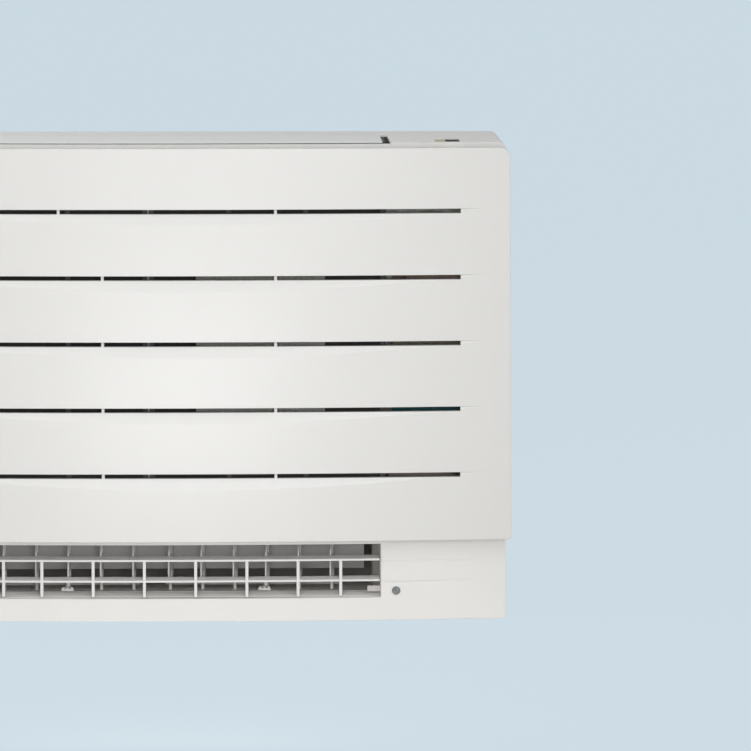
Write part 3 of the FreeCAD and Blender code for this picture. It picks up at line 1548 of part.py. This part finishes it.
def rear_frame(mount_holes):
    frame = body("frame")
    half = "casing_inner_half - fit_gap"
    pad(frame, "yz", [[
        ("-frame_front", "0"),
        ("back", "0"),
        ("back", "scroll_high"),
        ("frame_plate", "scroll_high"),
        ("frame_plate", "frame_wall"),
        ("-frame_front", "frame_wall"),
    ]], f"-({half})", half)
    ribs = [
        rectangle(x, ("frame_wall / 2", "overall_height - casing_corner - fit_gap"))
        for x in ((f"{half} - frame_rib_width", half), (f"-({half})", f"-({half}) + frame_rib_width"))
    ]
    pad(frame, "xz", ribs, "frame_plate - frame_rib_depth", "frame_plate + frame_wall / 2")
    posts = [
        rectangle((f"{x} - screw_post_width / 2", f"{x} + screw_post_width / 2"),
                  ("lap_backing_rear + fit_gap", "-frame_front + screw_length"))
        for x, _ in SCREWS.values()
    ]
    pad(frame, "xy", posts, "frame_wall / 2", "screw_height + screw_post_width / 2")
    for x, face in SCREWS.values():
        pocket(frame, "xz", [("circle", x, "screw_height", "screw_radius + run_gap")],
               face, f"{face} + screw_recess_depth + screw_length + overrun / 2")
    shoulder = "casing_half - casing_corner - fit_gap"
    corners = [
        rectangle(x, ("overall_height - casing_corner - fit_gap", "overall_height"))
        for x in ((shoulder, "casing_half"), ("-casing_half", f"-({shoulder})"))
    ]
    pocket(frame, "xz", corners, "frame_plate - frame_rib_depth - overrun", "back + overrun")
    opening = rectangle(("pipe_opening_left", "pipe_opening_right"),
                        ("pipe_opening_low", "pipe_opening_high"))
    walls = [
        ("circle", f"{sign}wall_hole_place", z, "wall_hole_radius")
        for sign in ("", "-") for z in ("wall_hole_low", "wall_hole_high")
    ]
    pocket(frame, "xz", [opening] + walls + mount_holes, "frame_plate - overrun", "back + overrun")
    keep("rear_frame", frame)

    screws = []
    for name, (x, face) in SCREWS.items():
        screw = body(f"casing_screw_{name}")
        seat = f"{face} + screw_recess_depth"
        pad(screw, "xz", [("circle", x, "screw_height", "screw_head_radius")],
            f"{seat} - screw_head_height", seat)
        pad(screw, "xz", [("circle", x, "screw_height", "screw_radius")], seat, f"{seat} + screw_length")
        head = f"{seat} - screw_head_height"
        long = "screw_cross_length / 2"
        short = "screw_cross_width / 2"
        for wide, tall in ((long, short), (short, long)):
            slot = rectangle((f"{x} - {wide}", f"{x} + {wide}"),
                             (f"screw_height - {tall}", f"screw_height + {tall}"))
            pocket(screw, "xz", [slot], f"{head} - overrun", f"{head} + screw_cross_depth")
        screws.append(screw)
    keep("casing_screws", group("casing_screw_pair", *screws))


def build():
    front_casing()
    outlet_grille()
    front_panel()
    panel_stoppers()
    intake_guard()
    filters()
    purifying_filter()
    coil()
    pipes()
    drain()
    bell_mouth()
    turbo_fan()
    mount_holes = fan_motor()
    scroll_walls()
    upper_air_guide()
    lower_duct()
    louvres()
    upper_flap()
    lower_shutter()
    stepper("flap_motor", "stepper_seat", "flap_axis_y", "flap_axis_z")
    stepper("shutter_motor", "duct_right + duct_wall + fit_gap", "-shutter_pivot", "shutter_height")
    electrical_box()
    controls()
    rear_frame(mount_holes)
    DOC.recompute()


def check():
    """Every object up to date, every sub-part a valid shape of solids."""
    for item in DOC.Objects:
        if "Invalid" in item.State or "Error" in item.State:
            raise RuntimeError(f"{item.Label} failed: {item.State}")
    for label, item in PARTS.items():
        if item.Shape.isNull() or not item.Shape.isValid() or not item.Shape.Solids:
            raise RuntimeError(f"{label} has no valid shape")


def write():
    os.makedirs("parts", exist_ok=True)
    for label, item in PARTS.items():
        item.Shape.exportStep(f"parts/{label}.step")


build()
check()
write()
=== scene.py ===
import json
import math

import bmesh
import bpy
from mathutils import Matrix, Vector


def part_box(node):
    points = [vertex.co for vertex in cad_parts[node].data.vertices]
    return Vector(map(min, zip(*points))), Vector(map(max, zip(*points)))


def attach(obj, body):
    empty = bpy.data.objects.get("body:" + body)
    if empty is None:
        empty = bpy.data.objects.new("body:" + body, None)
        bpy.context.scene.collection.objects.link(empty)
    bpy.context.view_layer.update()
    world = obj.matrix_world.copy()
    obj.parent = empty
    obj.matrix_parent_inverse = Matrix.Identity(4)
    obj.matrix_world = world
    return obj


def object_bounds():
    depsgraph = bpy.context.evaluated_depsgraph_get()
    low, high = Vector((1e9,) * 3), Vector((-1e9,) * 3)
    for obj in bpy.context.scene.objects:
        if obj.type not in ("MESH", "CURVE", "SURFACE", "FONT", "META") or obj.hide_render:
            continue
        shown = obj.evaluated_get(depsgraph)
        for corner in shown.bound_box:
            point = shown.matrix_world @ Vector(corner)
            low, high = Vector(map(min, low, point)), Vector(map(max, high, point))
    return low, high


# Looks of the floor console air conditioner, in metres, in the frame of the solids.

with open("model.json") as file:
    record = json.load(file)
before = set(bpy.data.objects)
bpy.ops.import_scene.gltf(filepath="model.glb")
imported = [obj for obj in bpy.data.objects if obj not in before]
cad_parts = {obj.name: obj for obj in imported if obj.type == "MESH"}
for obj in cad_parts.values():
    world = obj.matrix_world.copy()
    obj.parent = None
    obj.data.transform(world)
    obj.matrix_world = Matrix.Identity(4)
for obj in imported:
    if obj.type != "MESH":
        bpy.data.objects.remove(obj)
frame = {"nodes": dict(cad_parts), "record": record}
CAD_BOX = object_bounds()
SCENE = bpy.context.scene
NODES = frame["nodes"]

# Camera: far and long, from the fit to the photograph's edges
IMAGE_SIDE = 751
FOCAL_PIXELS = 5461
SENSOR_WIDTH = 36
CAMERA_DISTANCE = 6.5
CAMERA_SIDE = 0.0255
CAMERA_HEIGHT = 1.0187
CAMERA_YAW = math.radians(1.740)
CAMERA_PITCH = math.radians(6.302)
CAMERA_ROLL = math.radians(0.027)

# Background and floor
BACKDROP_COLOUR = (0.604, 0.708, 0.775, 1)
GLOW_COLOUR = (0.620, 0.730, 0.800, 1)
FLOOR_COLOUR = (0.74, 0.73, 0.71, 1)
FLOOR_SIZE = 40
FLOOR_GLOW_SHARE = 0.95
FLOOR_DROP = 0.0005

# Light
WORLD_STRENGTH = 0.15
WORLD_COLOUR = (1.0, 0.985, 0.96, 1)
LAMPS = {
    "above_left": {"place": (-0.9, -2.2, 2.2), "size": (1.5, 1.5), "power": 8.5},
    "above_right": {"place": (0.9, -2.2, 2.2), "size": (1.5, 1.5), "power": 11},
    "top_left": {"place": (-0.8, -0.7, 2.2), "size": (1.2, 1.2), "power": 15},
    "front": {"place": (0.15, -3.4, 0.75), "size": (1.2, 1.2), "power": 19},
    "low_front": {"place": (-0.02, -1.0, 0.17), "size": (0.34, 0.24), "power": 1.5},
    "right_front": {"place": (1.8, -2.4, 0.9), "size": (1.2, 1.2), "power": 6.5},
    "left_side": {"place": (-2.4, 0.9, 0.9), "size": (1.2, 1.2), "power": 12},
    "right_side": {"place": (2.4, 0.9, 0.9), "size": (1.2, 1.2), "power": 10},
}
LAMP_AIM = Vector((0, 0, 0.3))

# Spread that a noise mostly keeps to, its detail in each use, and the quality of softened edges
NOISE_LOW = 0.3
NOISE_HIGH = 0.7
TINT_DETAIL = 4
HAZE_DETAIL = 3
HAZE_FINENESS = 3
GRAIN_DETAIL = 2
BEVEL_SAMPLES = 6


def link(tree, source, target):
    tree.links.new(source, target)


def noise(tree, where, scale, detail, stretch):
    """Noise in the object's own metres, squeezed by a factor along each axis."""
    mapping = tree.nodes.new("ShaderNodeMapping")
    mapping.inputs["Scale"].default_value = stretch
    link(tree, where, mapping.inputs["Vector"])
    texture = tree.nodes.new("ShaderNodeTexNoise")
    texture.inputs["Scale"].default_value = scale
    texture.inputs["Detail"].default_value = detail
    link(tree, mapping.outputs["Vector"], texture.inputs["Vector"])
    return texture.outputs["Fac"]


def ramp(tree, value, low, high):
    """Spread a 0 to 1 value between two numbers."""
    spread = tree.nodes.new("ShaderNodeMapRange")
    spread.inputs["From Min"].default_value = NOISE_LOW
    spread.inputs["From Max"].default_value = NOISE_HIGH
    spread.inputs["To Min"].default_value = low
    spread.inputs["To Max"].default_value = high
    link(tree, value, spread.inputs["Value"])
    return spread.outputs["Result"]


def blend_colours(tree, value, first, second):
    """Colour between two, by a 0 to 1 value."""
    mix = tree.nodes.new("ShaderNodeMix")
    mix.data_type = "RGBA"
    mix.inputs["A"].default_value = first
    mix.inputs["B"].default_value = second
    link(tree, value, mix.inputs["Factor"])
    return mix.outputs["Result"]


def shade(colour, share):
    return (colour[0] * share, colour[1] * share, colour[2] * share, 1)


# Every finish starts from this one: lengths in metres, scales per metre
PLAIN_FINISH = {
    "rough": 0.45,
    "metal": 0,
    "specular": 0.5,
    "tint_share": 0.97,
    "tint_scale": 14,
    "rough_spread": 0.05,
    "grain_scale": 2600,
    "grain_height": 0.00002,
    "grain_strength": 0.12,
    "stretch": (1, 1, 1),
    "edge": 0.0006,
}
FINISHES = {
    "panel_white": {"colour": (0.79, 0.785, 0.77), "rough": 0.3, "specular": 0.4, "tint_share": 0.99,
                    "rough_spread": 0.01, "edge": 0.0009},
    "casing_white": {"colour": (0.91, 0.90, 0.88), "rough": 0.55, "specular": 0.04, "tint_share": 0.985},
    "grille_white": {"colour": (0.85, 0.84, 0.83), "rough": 0.42, "tint_share": 0.98, "edge": 0.0005},
    "vane_white": {"colour": (0.80, 0.79, 0.77), "rough": 0.40, "edge": 0.0004},
    "flap_white": {"colour": (0.89, 0.87, 0.86), "rough": 0.5, "specular": 0.2, "tint_share": 0.985},
    "shutter_grey": {"colour": (0.42, 0.405, 0.395), "rough": 0.5, "tint_share": 0.95},
    "grey_plastic": {"colour": (0.43, 0.41, 0.40), "rough": 0.5, "tint_share": 0.95},
    "duct_grey": {"colour": (0.60, 0.58, 0.56), "rough": 0.48, "tint_share": 0.93, "edge": 0.0004},
    "dark_plastic": {"colour": (0.09, 0.088, 0.08), "rough": 0.6, "specular": 0.15, "tint_share": 0.8},
    "filter_plastic": {"colour": (0.20, 0.195, 0.19), "rough": 0.5, "tint_share": 0.85},
    "purifier_grey": {"colour": (0.68, 0.67, 0.64), "rough": 0.7, "tint_share": 0.85, "tint_scale": 90},
    "filter_net": {"colour": (0.12, 0.115, 0.11), "rough": 0.8, "tint_share": 0.7, "grain_scale": 900,
                   "grain_height": 0.0002, "grain_strength": 0.8},
    "fin_aluminium": {"colour": (0.62, 0.63, 0.64), "rough": 0.34, "metal": 1, "tint_share": 0.85,
                      "stretch": (1, 1, 0.05)},
    "zinc_steel": {"colour": (0.66, 0.64, 0.60), "rough": 0.48, "metal": 1, "tint_share": 0.82,
                   "tint_scale": 60, "rough_spread": 0.12},
    "copper": {"colour": (0.62, 0.32, 0.19), "rough": 0.30, "metal": 1, "tint_share": 0.75, "tint_scale": 40},
    "nut_brass": {"colour": (0.70, 0.53, 0.24), "rough": 0.28, "metal": 1, "tint_share": 0.85,
                  "tint_scale": 50},
    "screw_steel": {"colour": (0.24, 0.235, 0.22), "rough": 0.3, "metal": 1, "tint_share": 0.8,
                    "tint_scale": 200, "rough_spread": 0.1, "edge": 0.0003},
    "board_teal": {"colour": (0.06, 0.36, 0.40), "rough": 0.4, "tint_share": 0.7, "tint_scale": 90,
                   "edge": 0.0002},
    "terminal_beige": {"colour": (0.74, 0.67, 0.53), "rough": 0.5, "tint_share": 0.9},
    "reactor_brown": {"colour": (0.72, 0.54, 0.43), "tint_share": 0.8, "tint_scale": 70},
    "pipe_foam": {"colour": (0.66, 0.58, 0.56), "rough": 0.9, "specular": 0.1, "tint_share": 0.88,
                  "tint_scale": 70, "grain_scale": 1400, "grain_height": 0.0003, "grain_strength": 0.5},
    # Painted shade: the seal's near-black colour stands in for the shadow in the gap at the flap's front edge
    "seal_black": {"colour": (0.02, 0.02, 0.018), "rough": 0.85, "specular": 0.1, "tint_share": 0.7},
    "lens_black": {"colour": (0.05, 0.05, 0.035), "rough": 0.55, "specular": 0.02, "tint_share": 0.8},
    "button_white": {"colour": (0.56, 0.53, 0.34), "rough": 0.6, "specular": 0.1, "tint_share": 0.95},
}


def surface(name, own):
    """Procedural finish: colour and roughness that drift, fine grain, and softened edges."""
    finish = {**PLAIN_FINISH, **own}
    material = bpy.data.materials.new(name)
    material.use_nodes = True
    tree = material.node_tree
    shader = tree.nodes["Principled BSDF"]
    where = tree.nodes.new("ShaderNodeTexCoord").outputs["Object"]
    stretch = finish["stretch"]
    drift = ramp(tree, noise(tree, where, finish["tint_scale"], TINT_DETAIL, stretch), 0, 1)
    colour = finish["colour"]
    colours = blend_colours(tree, drift, shade(colour, finish["tint_share"]), shade(colour, 1))
    link(tree, colours, shader.inputs["Base Color"])
    haze = noise(tree, where, finish["tint_scale"] * HAZE_FINENESS, HAZE_DETAIL, stretch)
    low = finish["rough"] - finish["rough_spread"]
    high = finish["rough"] + finish["rough_spread"]
    link(tree, ramp(tree, haze, low, high), shader.inputs["Roughness"])
    rounding = tree.nodes.new("ShaderNodeBevel")
    rounding.samples = BEVEL_SAMPLES
    rounding.inputs["Radius"].default_value = finish["edge"]
    grain = tree.nodes.new("ShaderNodeBump")
    grain.inputs["Strength"].default_value = finish["grain_strength"]
    grain.inputs["Distance"].default_value = finish["grain_height"]
    link(tree, noise(tree, where, finish["grain_scale"], GRAIN_DETAIL, stretch), grain.inputs["Height"])
    link(tree, rounding.outputs["Normal"], grain.inputs["Normal"])
    link(tree, grain.outputs["Normal"], shader.inputs["Normal"])
    shader.inputs["Metallic"].default_value = finish["metal"]
    shader.inputs["Specular IOR Level"].default_value = finish["specular"]
    return material


LOOKS = {name: surface(name, finish) for name, finish in FINISHES.items()}
NODE_LOOKS = {
    "front_panel": "panel_white",
    "front_casing": "casing_white",
    "outlet_grille": "grille_white",
    "upper_flap": "flap_white",
    "lower_duct": "duct_grey",
    "lower_shutter": "shutter_grey",
    "flap_motor": "dark_plastic",
}
SLOT_LOOKS = {"white_plastic": "vane_white"}
for part in frame["record"]["subparts"]:
    look = NODE_LOOKS.get(part["node"]) or SLOT_LOOKS.get(part["material_slot"], part["material_slot"])
    mesh = NODES[part["node"]].data
    mesh.materials.clear()
    mesh.materials.append(LOOKS[look])


# Foam sleeve on the gas pipe: slit along its front, with blunt ends
PIPE_BEND = 0.024
SLEEVE_THICKNESS = 0.009
SLEEVE_GAP = 0.0003
SLEEVE_START = 0.026
SLEEVE_FOOT = 0.014
SLEEVE_SIDES = 36
SLEEVE_SLIT_SIDE = 28
SLEEVE_SLIT_DEPTH = 0.0012
SLEEVE_BLUNTING = 0.0015
SLEEVE_BEND_STEPS = 12


def sleeve_stations(low, high, pipe_radius):
    """Points on the pipe's middle line, each with the direction away from the bend and a loss of radius."""
    middle = (low.y + high.y) / 2
    bend = Vector((high.x - pipe_radius - PIPE_BEND, middle, high.z - pipe_radius - PIPE_BEND))
    up = Vector((0, 0, 1))
    right = Vector((1, 0, 0))
    start = Vector((low.x + SLEEVE_START, middle, bend.z + PIPE_BEND))
    foot = Vector((bend.x + PIPE_BEND, middle, low.z + SLEEVE_FOOT))
    stations = [(start, up, SLEEVE_BLUNTING), (start + right * SLEEVE_BLUNTING, up, 0)]
    for step in range(SLEEVE_BEND_STEPS + 1):
        angle = math.pi / 2 * step / SLEEVE_BEND_STEPS
        away = up * math.cos(angle) + right * math.sin(angle)
        stations.append((bend + away * PIPE_BEND, away, 0))
    stations.append((foot + up * SLEEVE_BLUNTING, right, 0))
    stations.append((foot, right, SLEEVE_BLUNTING))
    return stations


def sleeve_ring(shape, point, away, radius, slit):
    """Ring of points around the middle line, lower by the slit's depth on one side."""
    across = Vector((0, 1, 0))
    ring = []
    for side in range(SLEEVE_SIDES):
        angle = 2 * math.pi * side / SLEEVE_SIDES
        reach = radius - slit if side == SLEEVE_SLIT_SIDE else radius
        spoke = away * math.cos(angle) + across * math.sin(angle)
        ring.append(shape.verts.new(point + spoke * reach))
    return ring


def join_rings(shape, first, second):
    for side in range(SLEEVE_SIDES):
        after = (side + 1) % SLEEVE_SIDES
        face = shape.faces.new((first[side], first[after], second[after], second[side]))
        face.smooth = True


def add_pipe_sleeve():
    low, high = (Vector(corner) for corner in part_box("gas_pipe"))
    pipe_radius = (high.y - low.y) / 2
    inner_radius = pipe_radius + SLEEVE_GAP
    outer_radius = inner_radius + SLEEVE_THICKNESS
    shape = bmesh.new()
    outer = []
    inner = []
    for point, away, loss in sleeve_stations(low, high, pipe_radius):
        outer.append(sleeve_ring(shape, point, away, outer_radius - loss, SLEEVE_SLIT_DEPTH))
        inner.append(sleeve_ring(shape, point, away, inner_radius, 0))
    for rings in (outer, inner):
        for first, second in zip(rings, rings[1:]):
            join_rings(shape, first, second)
    join_rings(shape, outer[0], inner[0])
    join_rings(shape, outer[-1], inner[-1])
    bmesh.ops.recalc_face_normals(shape, faces=shape.faces)
    mesh = bpy.data.meshes.new("pipe_sleeve")
    shape.to_mesh(mesh)
    shape.free()
    mesh.materials.append(LOOKS["pipe_foam"])
    sleeve = bpy.data.objects.new("pipe_sleeve", mesh)
    SCENE.collection.objects.link(sleeve)
    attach(sleeve, "unit")


# Floor, world, lamps and camera

def seen_directly(tree):
    """Factor that is one for what the camera sees, also by gloss and through glass."""
    rays = tree.nodes.new("ShaderNodeLightPath")
    total = tree.nodes.new("ShaderNodeMath")
    total.operation = "MAXIMUM"
    link(tree, rays.outputs["Is Camera Ray"], total.inputs[0])
    link(tree, rays.outputs["Is Glossy Ray"], total.inputs[1])
    whole = tree.nodes.new("ShaderNodeMath")
    whole.operation = "MAXIMUM"
    link(tree, total.outputs["Value"], whole.inputs[0])
    link(tree, rays.outputs["Is Transmission Ray"], whole.inputs[1])
    return whole.outputs["Value"]


def floor_material():
    """Matt floor that glows in the backdrop's colour where it is seen, and keeps a share of its shadow."""
    material = bpy.data.materials.new("floor")
    material.use_nodes = True
    tree = material.node_tree
    tree.nodes.clear()
    output = tree.nodes.new("ShaderNodeOutputMaterial")
    matt = tree.nodes.new("ShaderNodeBsdfDiffuse")
    matt.inputs["Color"].default_value = FLOOR_COLOUR
    glow = tree.nodes.new("ShaderNodeEmission")
    glow.inputs["Color"].default_value = GLOW_COLOUR
    share = tree.nodes.new("ShaderNodeMath")
    share.operation = "MULTIPLY"
    link(tree, seen_directly(tree), share.inputs[0])
    share.inputs[1].default_value = FLOOR_GLOW_SHARE
    mix = tree.nodes.new("ShaderNodeMixShader")
    link(tree, share.outputs["Value"], mix.inputs["Fac"])
    link(tree, matt.outputs["BSDF"], mix.inputs[1])
    link(tree, glow.outputs["Emission"], mix.inputs[2])
    link(tree, mix.outputs["Shader"], output.inputs["Surface"])
    return material


def add_floor():
    bpy.ops.mesh.primitive_plane_add(size=FLOOR_SIZE, location=(0, 0, -FLOOR_DROP))
    floor = bpy.context.object
    floor.name = "floor"
    floor.data.materials.append(floor_material())


def set_world():
    world = bpy.data.worlds.new("studio")
    SCENE.world = world
    world.use_nodes = True
    tree = world.node_tree
    tree.nodes.clear()
    output = tree.nodes.new("ShaderNodeOutputWorld")
    light = tree.nodes.new("ShaderNodeBackground")
    light.inputs["Color"].default_value = WORLD_COLOUR
    light.inputs["Strength"].default_value = WORLD_STRENGTH
    seen = tree.nodes.new("ShaderNodeBackground")
    seen.inputs["Color"].default_value = BACKDROP_COLOUR
    mix = tree.nodes.new("ShaderNodeMixShader")
    link(tree, seen_directly(tree), mix.inputs["Fac"])
    link(tree, light.outputs["Background"], mix.inputs[1])
    link(tree, seen.outputs["Background"], mix.inputs[2])
    link(tree, mix.outputs["Shader"], output.inputs["Surface"])


def add_lamps():
    for name, lamp in LAMPS.items():
        data = bpy.data.lights.new(name, "AREA")
        data.shape = "RECTANGLE"
        data.size, data.size_y = lamp["size"]
        data.energy = lamp["power"]
        item = bpy.data.objects.new(name, data)
        item.location = lamp["place"]
        item.visible_camera = False
        item.rotation_euler = (LAMP_AIM - item.location).to_track_quat("-Z", "Y").to_euler()
        SCENE.collection.objects.link(item)


def add_camera():
    data = bpy.data.cameras.new("camera")
    data.sensor_width = SENSOR_WIDTH
    data.lens = FOCAL_PIXELS * SENSOR_WIDTH / IMAGE_SIDE
    data.clip_end = FLOOR_SIZE
    camera = bpy.data.objects.new("camera", data)
    upright = Matrix.Rotation(math.pi / 2 - CAMERA_PITCH, 4, "X")
    turn = Matrix.Rotation(-CAMERA_YAW, 4, "Z") @ upright @ Matrix.Rotation(CAMERA_ROLL, 4, "Z")
    place = Matrix.Translation((CAMERA_SIDE, CAD_BOX[0][1] - CAMERA_DISTANCE, CAMERA_HEIGHT))
    camera.matrix_world = place @ turn
    SCENE.collection.objects.link(camera)
    SCENE.camera = camera


add_pipe_sleeve()
add_floor()
set_world()
add_lamps()
add_camera()
SCENE.view_settings.view_transform = "Standard"
